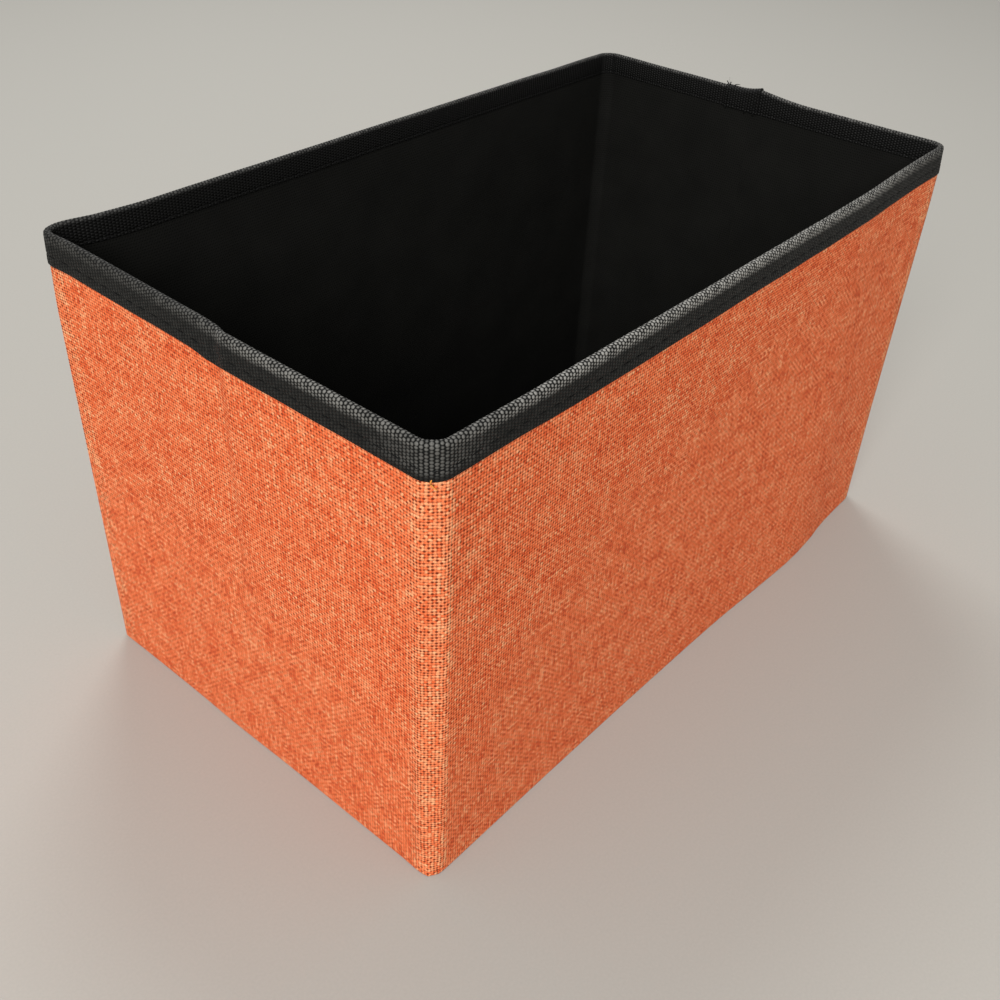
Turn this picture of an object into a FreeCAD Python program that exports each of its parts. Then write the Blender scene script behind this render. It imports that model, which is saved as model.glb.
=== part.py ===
import FreeCAD, Part
import math
import os

# Fold-flat storage bin: six stiffened cloth walls joined by soft corner strips and two end creases,
# a woven tape folded over the rim, a sewn floor cloth and a loose covered base board.
# Sizes are in millimetres. The origin is the middle of the footprint, on the floor.
# X runs along the two long walls, Y across the bin and Z up.

# Overall size, measured over the rim tape
length = 432.0
width = 250.0
height = 254.0

# Thickness of each layer
cover_cloth = 0.7
wall_board = 1.6
lining_cloth = 0.4
rim_tape = 0.65
floor_sheet = 0.6
base_card = 2.0

# Rim tape, folded lengthwise over the walls' top edges
tape_drop = 16.5
lap_from_crease = 5.0
lap_length = 21.0

# Soft corner strips, which are also the corner hinges
corner_reach = 10.6
corner_inner_bend = 1.0
board_to_corner = 1.0

# Creases in the middle of the two short ends
crease_gap = 0.6
board_to_crease = 1.5

# Running clearances
hinge_gap = 0.3
hem_gap = 0.3
fold_gap = 0.1
base_side_gap = 1.2
base_seat_gap = 0.3

# Floor cloth and base board
hem_height = 4.0
base_corner_radius = 8.0
base_hem_allowance = 1.5

# Depths below the outermost surface, which is the outside of the rim tape
wall_thickness = cover_cloth + wall_board + lining_cloth
rim_thickness = wall_thickness + 2 * rim_tape
cover_depth = rim_tape
board_depth = cover_depth + cover_cloth
lining_depth = board_depth + wall_board
inner_depth = lining_depth + lining_cloth

# Heights
wall_bottom = hem_height + hem_gap
fold_outer_radius = rim_thickness / 2
fold_inner_radius = fold_outer_radius - rim_tape
fold_line = height - fold_outer_radius
tape_bottom = height - tape_drop
board_offset = max(fold_outer_radius - board_depth, lining_depth - fold_outer_radius)
board_top = fold_line + math.sqrt(fold_inner_radius**2 - board_offset**2) - fold_gap

# Lengths of the flat walls
long_wall_half = length / 2 - corner_reach
end_wall_half = width / 2 - corner_reach - hinge_gap
crease_edge = crease_gap / 2

# Plan path of a corner strip: bend, straight run, bend, where each bend is half of the corner
bend_angle = 90.0 / 2
corner_outer_bend = corner_inner_bend + rim_thickness
bend_tangent = corner_outer_bend * math.tan(math.radians(bend_angle / 2))
diagonal_run = (corner_reach - bend_tangent) * math.sqrt(2) - 2 * bend_tangent

up = FreeCAD.Vector(0, 0, 1)
origin = FreeCAD.Vector(0, 0, 0)


def point(x, y, z=0.0):
    return FreeCAD.Vector(x, y, z)


def line(start, end):
    return Part.makeLine(start, end)


def arc(start, middle, end):
    return Part.Arc(start, middle, end).toShape()


def save(shape, name):
    """Write one named piece, checking that it is made of sound solids."""
    if not shape.isValid() or not shape.Solids:
        raise ValueError("unsound piece: " + name)
    shape.exportStep("parts/" + name + ".step")
    print("%-28s %2d solid %9.1f mm3" % (name, len(shape.Solids), shape.Volume))


def slab(start, end, near_depth, far_depth, bottom, top):
    """A flat layer of a wall that lies along X with its outer face at Y = 0 and its inside at +Y."""
    layer = Part.makeBox(end - start, far_depth - near_depth, top - bottom)
    layer.translate(point(start, near_depth, bottom))
    return layer


def tape_profile(outer_growth=0.0):
    """Section of the folded tape in the YZ plane; the growth makes the lap that lies over it."""
    outer = fold_outer_radius + outer_growth
    inner = outer - rim_tape
    middle = fold_outer_radius
    near, far = middle - outer, middle + outer
    near_in, far_in = middle - inner, middle + inner
    crown, crown_in = fold_line + outer, fold_line + inner
    edges = [
        line(point(0, near, tape_bottom), point(0, near, fold_line)),
        arc(point(0, near, fold_line), point(0, middle, crown), point(0, far, fold_line)),
        line(point(0, far, fold_line), point(0, far, tape_bottom)),
        line(point(0, far, tape_bottom), point(0, far_in, tape_bottom)),
        line(point(0, far_in, tape_bottom), point(0, far_in, fold_line)),
        arc(point(0, far_in, fold_line), point(0, middle, crown_in), point(0, near_in, fold_line)),
        line(point(0, near_in, fold_line), point(0, near_in, tape_bottom)),
        line(point(0, near_in, tape_bottom), point(0, near, tape_bottom)),
    ]
    return Part.Face(Part.Wire(edges))


def straight_tape(start, end, outer_growth=0.0):
    section = tape_profile(outer_growth)
    section.translate(point(start, 0, 0))
    return section.extrude(point(end - start, 0, 0))


def wall_layers(start, end, board_start, board_end):
    """The four layers of one flat wall, lying along X."""
    return {
        "cover": slab(start, end, cover_depth, board_depth, wall_bottom, fold_line),
        "board": slab(board_start, board_end, board_depth, lining_depth, wall_bottom, board_top),
        "lining": slab(start, end, lining_depth, inner_depth, wall_bottom, fold_line),
        "binding": straight_tape(start, end),
    }


def corner_path(depth):
    """Plan edges of a corner strip at one depth, from the long wall to the short end.

    The corner is at the origin, the long wall runs along +X and the short end along +Y."""
    radius = corner_outer_bend - depth
    edges = []
    centres = [point(corner_reach, corner_outer_bend), point(corner_outer_bend, corner_reach)]
    last = None
    for index, centre in enumerate(centres):
        angles = [math.radians(-90.0 - (index + step / 2) * bend_angle) for step in range(3)]
        start, middle, end = [centre + point(radius * math.cos(a), radius * math.sin(a)) for a in angles]
        if last is not None:
            edges.append(line(last, start))
        edges.append(arc(start, middle, end))
        last = end
    return edges


def corner_band(near_depth, far_depth, bottom, top):
    """A soft skin that turns the corner between two depths."""
    outer = corner_path(near_depth)
    inner = corner_path(far_depth)
    long_end = line(point(corner_reach, near_depth), point(corner_reach, far_depth))
    short_end = line(point(near_depth, corner_reach), point(far_depth, corner_reach))
    ring = Part.Wire(Part.__sortEdges__(outer + inner + [long_end, short_end]))
    band = Part.Face(ring).extrude(point(0, 0, top - bottom))
    band.translate(point(0, 0, bottom))
    return band


def corner_tape():
    """The folded tape carried round a corner: bend, straight run, bend."""
    first_centre = point(corner_reach, corner_outer_bend)
    last_centre = point(corner_outer_bend, corner_reach)
    run = point(-diagonal_run / math.sqrt(2), diagonal_run / math.sqrt(2))
    section = tape_profile()
    section.translate(point(corner_reach, 0, 0))
    first_bend = section.revolve(first_centre, up, -bend_angle)
    section.rotate(first_centre, up, -bend_angle)
    straight = section.extrude(run)
    section.translate(run)
    last_bend = section.revolve(last_centre, up, -bend_angle)
    return first_bend.fuse([straight, last_bend]).removeSplitter()


def on_wall(shape, side):
    """Turn a piece made along X onto one of the four sides of the bin."""
    turns = {"front": 0.0, "right": 90.0, "back": 180.0, "left": -90.0}
    bases = {
        "front": point(0, -width / 2),
        "right": point(length / 2, 0),
        "back": point(0, width / 2),
        "left": point(-length / 2, 0),
    }
    placed = shape.copy()
    placed.rotate(origin, up, turns[side])
    placed.translate(bases[side])
    return placed


def at_corner(shape, depth_side, length_side):
    """Place a piece made at the front left corner, mirrored where another corner needs it."""
    placed = shape.copy()
    placed.translate(point(-length / 2, -width / 2))
    if length_side == "right":
        placed = placed.mirror(origin, point(1, 0, 0))
    if depth_side == "back":
        placed = placed.mirror(origin, point(0, 1, 0))
    return placed


def plan_outline(depth):
    """Closed outline of the whole bin at one depth, with its four bent corners."""
    corner = Part.Wire(corner_path(depth))
    edges = []
    for depth_side in ("front", "back"):
        for length_side in ("left", "right"):
            edges += at_corner(corner, depth_side, length_side).Edges
    straight_x = length / 2 - corner_reach
    straight_y = width / 2 - corner_reach
    for sign in (-1, 1):
        y = sign * (width / 2 - depth)
        x = sign * (length / 2 - depth)
        edges.append(line(point(-straight_x, y), point(straight_x, y)))
        edges.append(line(point(x, -straight_y), point(x, straight_y)))
    return Part.Face(Part.Wire(Part.__sortEdges__(edges)))


def long_walls():
    board_half = long_wall_half - board_to_corner
    layers = wall_layers(-long_wall_half, long_wall_half, -board_half, board_half)
    for side in ("front", "back"):
        for layer, shape in layers.items():
            save(on_wall(shape, side), side + "_" + layer)


def end_walls():
    """Each short end is two half walls, hinged to each other at the crease."""
    near, far = crease_edge, end_wall_half
    board_near, board_far = board_to_crease, end_wall_half - board_to_corner
    rising = wall_layers(near, far, board_near, board_far)
    falling = wall_layers(-far, -near, -board_far, -board_near)
    halves = {
        "left_front": ("left", rising),
        "left_back": ("left", falling),
        "right_front": ("right", falling),
        "right_back": ("right", rising),
    }
    for half, (side, layers) in halves.items():
        for layer, shape in layers.items():
            save(on_wall(shape, side), half + "_" + layer)


def corner_strips():
    pieces = {
        "corner_cover": corner_band(cover_depth, board_depth, wall_bottom, fold_line),
        "corner_lining": corner_band(lining_depth, inner_depth, wall_bottom, fold_line),
        "corner_binding": corner_tape(),
    }
    for depth_side in ("front", "back"):
        for length_side in ("left", "right"):
            for piece, shape in pieces.items():
                save(at_corner(shape, depth_side, length_side), "_".join([piece, depth_side, length_side]))


def tape_lap():
    """The two ends of the rim tape overlap beside the right crease: this is the upper end."""
    lap = straight_tape(lap_from_crease, lap_from_crease + lap_length, rim_tape)
    save(on_wall(lap, "right"), "binding_lap")


def floor_cloth():
    """The sewn floor, turned up all round to meet the walls' lower edges."""
    tray = plan_outline(cover_depth).extrude(point(0, 0, hem_height))
    hollow = plan_outline(inner_depth).extrude(point(0, 0, hem_height))
    hollow.translate(point(0, 0, floor_sheet))
    save(tray.cut(hollow), "floor_cloth")


def rounded_plate(plate_length, plate_width, thickness, radius, bottom):
    plate = Part.makeBox(plate_length, plate_width, thickness)
    plate.translate(point(-plate_length / 2, -plate_width / 2, bottom))
    uprights = [edge for edge in plate.Edges if abs(edge.tangentAt(edge.FirstParameter).z) > 0.5]
    return plate.makeFillet(radius, uprights)


def base_board():
    """The loose base: a card in a lining sleeve that is left open along one end."""
    sleeve_length = length - 2 * (rim_thickness + base_side_gap)
    sleeve_width = width - 2 * (rim_thickness + base_side_gap)
    sleeve_bottom = floor_sheet + base_seat_gap
    sleeve_height = base_card + 2 * lining_cloth
    card_length = sleeve_length - 2 * base_hem_allowance
    card_width = sleeve_width - 2 * base_hem_allowance
    card_radius = base_corner_radius - base_hem_allowance
    card_bottom = sleeve_bottom + lining_cloth
    card = rounded_plate(card_length, card_width, base_card, card_radius, card_bottom)
    mouth = Part.makeBox(sleeve_length / 2, card_width, base_card)
    mouth.translate(point(0, -card_width / 2, card_bottom))
    sleeve = rounded_plate(sleeve_length, sleeve_width, sleeve_height, base_corner_radius, sleeve_bottom)
    save(card, "base_card")
    save(sleeve.cut(card).cut(mouth), "base_sleeve")


os.makedirs("parts", exist_ok=True)
long_walls()
end_walls()
corner_strips()
tape_lap()
floor_cloth()
base_board()
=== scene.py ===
import math
import random
import bpy
import numpy as np
from mathutils import Matrix, Vector, noise


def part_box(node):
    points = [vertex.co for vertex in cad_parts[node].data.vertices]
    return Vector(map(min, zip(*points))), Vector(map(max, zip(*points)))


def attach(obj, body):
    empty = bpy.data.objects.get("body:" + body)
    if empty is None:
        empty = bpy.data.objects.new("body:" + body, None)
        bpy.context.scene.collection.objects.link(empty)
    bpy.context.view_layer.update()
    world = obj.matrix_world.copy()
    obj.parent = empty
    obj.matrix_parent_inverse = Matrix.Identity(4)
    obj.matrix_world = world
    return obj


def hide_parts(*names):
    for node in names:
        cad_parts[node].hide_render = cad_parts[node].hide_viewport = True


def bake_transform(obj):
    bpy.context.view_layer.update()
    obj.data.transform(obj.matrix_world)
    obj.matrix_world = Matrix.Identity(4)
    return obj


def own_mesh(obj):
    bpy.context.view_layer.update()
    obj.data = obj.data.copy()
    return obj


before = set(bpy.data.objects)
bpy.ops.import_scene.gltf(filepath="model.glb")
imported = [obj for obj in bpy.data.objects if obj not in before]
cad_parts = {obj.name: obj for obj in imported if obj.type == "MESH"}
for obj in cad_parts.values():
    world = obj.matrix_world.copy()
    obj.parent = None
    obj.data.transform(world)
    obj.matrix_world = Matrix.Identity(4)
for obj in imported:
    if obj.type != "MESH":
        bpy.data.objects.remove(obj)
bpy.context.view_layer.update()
print("frame loaded:", len(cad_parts), "nodes")

# Everything is in metres. The bin stands on Z 0, its long walls run along X.
# A place on the wall is given by run, the way round the rim, depth under the tape's outside, and height.

# The sizes that the modelled cloth is cut to, read from the fixed frame.
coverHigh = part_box("front_cover")[1]
tapeLow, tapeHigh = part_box("front_binding")
layerDepths = {layer: [corner.y - tapeLow.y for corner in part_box("front_" + layer)]
               for layer in ("cover", "board", "lining")}
coverNear = layerDepths["cover"][0]
liningFar = layerDepths["lining"][1]
halfLength = -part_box("left_front_binding")[0].x
halfWidth = -tapeLow.y
rimDepth = tapeHigh.y - tapeLow.y
reach = halfLength - coverHigh.x  # how much of each wall the corner strips take
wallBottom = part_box("front_cover")[0].z
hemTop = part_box("floor_cloth")[1].z
tapeBottom = tapeLow.z
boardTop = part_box("front_board")[1].z
foldLine = coverHigh.z
binTop = tapeHigh.z

wallForm = {
    "innerBend": 0.001,  # bend radius inside a corner
    "squareBend": 0.0003,  # the same where the cloth is drawn square
    "creaseStrip": 0.0055,  # each way from an end crease
    "waveHeight": 0.00022,
    "waveAcross": 16.0,  # waves to the metre, along the wall and up it
    "waveUp": 11.0,
    "waveLayer": 3.7,  # the level at which the noise is cut, another one for each cloth
    # how square each corner stands, at shares of the height: 0 is cut across, 1 is square
    "cornerBackRight": ((0, 0.3), (1, 0.3)),
    "cornerBackLeft": ((0, 1.0), (0.85, 1.0), (1, 0.5)),
    "cornerFrontLeft": ((0, 0.72), (0.05, 0.4), (0.2, 0.08), (0.85, 0.08), (1, 0.25)),
    "cornerFrontRight": ((0, 0.6), (0.3, 0.6), (0.85, 0.95), (0.93, 0.9), (1, 0.5)),
    "pullReach": 0.05,  # how far a displaced corner draws its neighbouring walls along
    "leastStep": 0.2,  # rings closer than this share of a step are left out
    "digits": 7,  # to which two runs are held to be the same
}

# Millimetres that the wall stands out of its flat plane at the rim and at the floor, and that the
# tape's lower edge hangs below its usual place, at shares of each stretch of the wall. Each table
# starts and ends at the right crease, with the same amount.
rimBow = {
    "rightBack": ((0, 0.3), (0.5, -0.5), (1, -0.8)),
    "back": ((0, -1.5), (0.25, -1.0), (0.75, -0.8), (0.88, -0.8), (0.95, 1.0), (1, 5.0)),
    "leftBack": ((0, -0.9), (0.12, -1.7), (0.5, -1.6), (0.78, -1.3), (0.99, -1.2)),
    "leftFront": ((0.07, 0.9), (0.22, 1.0), (0.5, 0.6), (1, 0.0)),
    "front": ((0, 0.2), (0.1, 0.9), (0.4, 1.1), (0.65, 0.9), (0.78, 0.3), (0.865, -1.1), (0.95, -2.1),
              (1, -2.2)),
    "rightFront": ((0, 2.2), (0.3, 1.2), (0.6, 0.1), (1, 0.3)),
}
floorBow = {
    "rightBack": ((0, 0.2), (1, 0.0)),
    "back": ((0.5, 0.3), (1, 3.0)),
    "leftBack": ((0, 1.2), (0.5, 0.5), (0.8, 0.8), (0.97, 0.5)),
    "leftFront": ((0.03, 0.3), (0.15, 0.1), (0.5, -0.3), (0.9, -0.6), (1, -0.3)),
    "front": ((0, -0.1), (0.25, -0.6), (0.45, -0.1), (0.6, 0.9), (0.7, 2.8), (0.79, 4.1), (0.865, 2.6),
              (0.91, 0.4), (1, -1.0)),
    "rightFront": ((0, 0.8), (1, 0.2)),
}
edgeHang = {
    "rightBack": ((0, 0.0),),
    "back": ((0.5, 0.5),),
    "leftBack": ((0, 0.1), (0.5, 0.3), (0.75, 0.2), (0.84, 0.5), (0.9, 1.3), (0.95, 2.0)),
    "leftFront": ((0, 2.0), (0.035, 1.0), (0.07, 0.1), (0.4, -0.1), (1, 0.2)),
    "cornerFrontLeft": ((0.5, 0.8),),
    "front": ((0, 0.0), (0.075, -0.3), (0.13, 0.1), (0.24, 0.9), (0.38, 0.6), (0.65, 0.3), (0.75, 0.0),
              (1, 0.2)),
    "rightFront": ((1, 0.0),),
}


def aheadAt(heading):
    return Vector((math.cos(heading), math.sin(heading)))


def leftAt(heading):
    return Vector((-math.sin(heading), math.cos(heading)))


def clamped(value):
    return min(1.0, max(0.0, value))


def stepAlong(point, heading, radius, length):
    # where a straight, or a turn to the left, of this length ends, and its heading there
    if not radius:
        return point + length * aheadAt(heading), heading
    turned = heading + length / radius
    return point + radius * (leftAt(heading) - leftAt(turned)), turned


def walkPlan():
    # the outline at depth 0, from the right crease round the back, the left end and the front
    bend = rimDepth + wallForm["innerBend"]
    turn = math.pi / 4
    tangent = bend * math.tan(turn / 2)
    diagonal = (reach - tangent) * math.sqrt(2) - 2 * tangent
    half = [(halfWidth - reach, 0)]
    long = [(2 * (halfLength - reach), 0)]
    corner = [(bend * turn, bend), (diagonal, 0), (bend * turn, bend)]
    order = [("rightBack", half), ("cornerBackRight", corner), ("back", long), ("cornerBackLeft", corner),
             ("leftBack", half), ("leftFront", half), ("cornerFrontLeft", corner), ("front", long),
             ("cornerFrontRight", corner), ("rightFront", half)]
    point = Vector((halfLength, 0.0))
    heading = math.pi / 2
    run = 0.0
    parts = []
    marks = {}
    for name, moves in order:
        first = run
        for length, radius in moves:
            parts.append({"name": name, "run": run, "length": length, "point": point,
                          "heading": heading, "radius": radius})
            point, heading = stepAlong(point, heading, radius, length)
            run += length
        marks[name] = (first, run)
    return parts, marks, run


planParts, marks, wayRound = walkPlan()
partStarts = [part["run"] for part in planParts]


def planSpot(run):
    # the outermost point, the inward direction, the stretch's name and the share of it walked
    home = run % wayRound
    part = planParts[max(i for i, start in enumerate(partStarts) if start <= home + 1e-12)]
    point, heading = stepAlong(part["point"], part["heading"], part["radius"], home - part["run"])
    first, last = marks[part["name"]]
    return point, leftAt(heading), part["name"], (home - first) / (last - first)


def spread(table):
    # a table's amounts with their places round the bin
    found = []
    for name, stops in table.items():
        first, last = marks[name]
        found += [(first + share * (last - first), amount) for share, amount in stops]
    return found


def smoothAlong(table):
    # a smooth curve round the bin through the table's amounts, without overshoot
    places, amounts = np.array(spread(table)).T
    amounts = amounts / 1000
    gaps = np.diff(places)
    rises = np.diff(amounts) / gaps
    slopes = np.zeros(len(places))
    for i in range(1, len(places) - 1):
        if rises[i - 1] * rises[i] > 0:
            slopes[i] = 2 / (1 / rises[i - 1] + 1 / rises[i])

    def amountAt(run):
        home = run % wayRound
        i = min(int(np.searchsorted(places, home, side="right")) - 1, len(gaps) - 1)
        t = (home - places[i]) / gaps[i]
        rise = amounts[i] * (2 * t ** 3 - 3 * t ** 2 + 1) + amounts[i + 1] * (3 * t ** 2 - 2 * t ** 3)
        return rise + gaps[i] * (slopes[i] * (t ** 3 - 2 * t ** 2 + t) + slopes[i + 1] * (t ** 3 - t ** 2))

    return amountAt


rimStands, floorStands, edgeHangs = [smoothAlong(table) for table in (rimBow, floorBow, edgeHang)]


def squareSpot(name, share):
    # the same share of the corner where it is drawn square instead of cut across
    part = next(part for part in planParts if part["name"] == name)
    bend = rimDepth + wallForm["squareBend"]
    straight = reach - bend
    arc = bend * math.pi / 2
    gone = share * (2 * straight + arc)
    ahead, left = aheadAt(part["heading"]), leftAt(part["heading"])
    if gone <= straight:
        return part["point"] + gone * ahead, left
    turn = min(math.pi / 2, (gone - straight) / bend)
    turned = math.cos(turn) * left - math.sin(turn) * ahead
    centre = part["point"] + straight * ahead + bend * left
    return centre - bend * turned + max(0.0, gone - straight - arc) * left, turned


# where each corner starts and stops, and the outward directions of the walls before and after it
cornerTurns = [(*marks[part["name"]], -leftAt(part["heading"]), aheadAt(part["heading"]))
               for part in planParts
               if part["name"].startswith("corner") and part["run"] == marks[part["name"]][0]]


def standOut(run, inward, standsAt):
    # how a wall's bow moves this place; a corner moves with both its walls and draws them along
    home = run % wayRound
    moved = -inward * standsAt(run)
    for first, last, before, after in cornerTurns:
        if first <= home <= last:
            return before * standsAt(first) + after * standsAt(last)
        away = first - home if home < first else home - last
        if away < wallForm["pullReach"]:
            near = 1 - away / wallForm["pullReach"]
            near *= near * (3 - 2 * near)
            moved += (after * standsAt(last) if home < first else before * standsAt(first)) * near
    return moved


class Ring:
    # one upright line of the wall, from which every layer takes its places
    def __init__(self, run):
        self.run = run
        self.point, self.inward, self.name, self.share = planSpot(run)
        self.rim = standOut(run, self.inward, rimStands)
        self.floor = standOut(run, self.inward, floorStands)
        self.square = squareSpot(self.name, self.share) if self.name.startswith("corner") else None
        self.fade = 0.0 if self.square else math.sqrt(max(0.0, math.sin(math.pi * self.share)))

    def place(self, depth, z):
        up = clamped(z / binTop)
        point, inward = self.point, self.inward
        if self.square:
            sharp = float(np.interp(up, *zip(*wallForm[self.name])))
            point = point.lerp(self.square[0], sharp)
            inward = inward.lerp(self.square[1], sharp).normalized()
        if self.fade:
            at = Vector((self.run * wallForm["waveAcross"], z * wallForm["waveUp"], wallForm["waveLayer"]))
            depth -= wallForm["waveHeight"] * noise.noise(at) * self.fade
        place = point + inward * depth + self.floor.lerp(self.rim, up)
        return Vector((place.x, place.y, z))


def wallPoint(run, depth, z):
    return Ring(run).place(depth, z)


def gridRuns(start, stop, step, bendStep=None):
    # places to cut the wall into rings: even steps, every change of direction and both ends
    found = [start, stop]
    found += [k * step for k in range(int(start / step), int(math.floor(stop / step)) + 2)]
    for part in planParts:
        found.append(part["run"])
        if part["radius"] and bendStep:
            pieces = max(2, round(part["length"] / bendStep))
            found += [part["run"] + part["length"] * k / pieces for k in range(pieces)]
    digits = wallForm["digits"]
    needed = {round(run, digits) for run in (start, stop, *partStarts)}
    kept = []
    least = wallForm["leastStep"] * min(step, bendStep or step)
    for run in sorted(set(round(f, digits) for f in found if start - 1e-9 <= f <= stop + 1e-9)):
        tooNear = kept and run - kept[-1] < least
        if tooNear and run in needed and kept[-1] not in needed:
            kept[-1] = run
        elif run in needed or not tooNear:
            kept.append(run)
    return kept


def newPiece(name, verts, faces, material, uvs=None, flat=()):
    mesh = bpy.data.meshes.new(name)
    mesh.from_pydata([tuple(v) for v in verts], [], faces)
    flatFaces = set(flat)
    mesh.polygons.foreach_set("use_smooth", [i not in flatFaces for i in range(len(faces))])
    if flatFaces:
        # the edges round a flat face are sharp as well, so that its neighbours keep their own shading
        sharp = np.zeros(len(mesh.edges), bool)
        for i in flatFaces:
            for corner in mesh.polygons[i].loop_indices:
                sharp[mesh.loops[corner].edge_index] = True
        mesh.edges.foreach_set("use_edge_sharp", sharp)
    if uvs is not None:
        layer = mesh.uv_layers.new(name="weaveRun")
        corners = np.zeros(len(mesh.loops), np.int32)
        mesh.loops.foreach_get("vertex_index", corners)
        layer.data.foreach_set("uv", np.array(uvs, np.float32)[corners].ravel())
    mesh.materials.append(material)
    mesh.update()
    piece = bpy.data.objects.new(name, mesh)
    bpy.context.scene.collection.objects.link(piece)
    return piece


def line(first, last, count):
    return [tuple(first[i] + (last[i] - first[i]) * k / (count - 1) for i in range(2)) for k in range(count)]


def arcLine(centre, radius, fromAngle, toAngle, count):
    angles = [math.radians(fromAngle + (toAngle - fromAngle) * k / (count - 1)) for k in range(count)]
    return [(centre[0] + radius * math.cos(a), centre[1] + radius * math.sin(a)) for a in angles]


def stepLengths(path):
    return np.linalg.norm(np.diff(np.array(path, float), axis=0), axis=1)


def tubeFaces(rings, ring):
    # the faces between neighbouring rings of points
    faces = []
    for i in range(rings - 1):
        here, there = i * ring, (i + 1) * ring
        for k in range(ring):
            up = (k + 1) % ring
            faces.append((here + k, there + k, there + up, here + up))
    return faces


def capFaces(start, rows):
    # the faces that join a band's two skins at the ring that starts here
    last = start + 2 * rows - 1
    return [(start + k, start + k + 1, last - 1 - k, last - k) for k in range(rows - 1)]


def sweepBand(name, runs, path, halfThick, material, relief=None, shift=None):
    # a closed cloth band: the path is its middle line in depth and height, swept along the runs
    rows = len(path)
    middle = np.array(path, float)
    slope = np.gradient(middle, axis=0)
    slope /= np.linalg.norm(slope, axis=1)[:, None]
    facing = np.stack([-slope[:, 1], slope[:, 0]], axis=1)
    length = np.concatenate([[0], np.cumsum(stepLengths(path))])
    squareEdged = not isinstance(halfThick, list)
    thick = [halfThick] * rows if squareEdged else halfThick
    verts, uvs = [], []
    for run in runs:
        upright = Ring(run)
        for skin in (1, -1):
            for row in range(rows)[::skin]:
                raised = thick[row] * skin
                if relief and skin == 1:
                    raised += relief(run, row)
                depth, z = middle[row] + facing[row] * raised
                if shift:
                    moved = shift(run, depth, z)
                    depth += moved[0]
                    z += moved[1]
                verts.append(upright.place(depth, z))
                uvs.append((run, length[row] + middle[0][1]))
    ring = 2 * rows
    faces = tubeFaces(len(runs), ring)
    flat = [i for i in range(len(faces)) if squareEdged and i % ring in (rows - 1, ring - 1)]
    flat += range(len(faces), len(faces) + ring - 2)
    faces += capFaces(0, rows)
    faces += [cap[::-1] for cap in capFaces((len(runs) - 1) * ring, rows)]
    return newPiece(name, verts, faces, material, uvs, flat)


def markCorners(piece):
    # where the cloth turns a corner it lies open and pale, so the weave reads this
    values = []
    for vert in piece.data.vertices:
        alongLong = halfLength - abs(vert.co.x)
        alongShort = halfWidth - abs(vert.co.y)
        values.append(1.0 if max(alongLong, alongShort) < reach + 1e-4 else 0.0)
    layer = piece.data.attributes.new("cornerStrip", "FLOAT", "POINT")
    layer.data.foreach_set("value", values)


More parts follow.
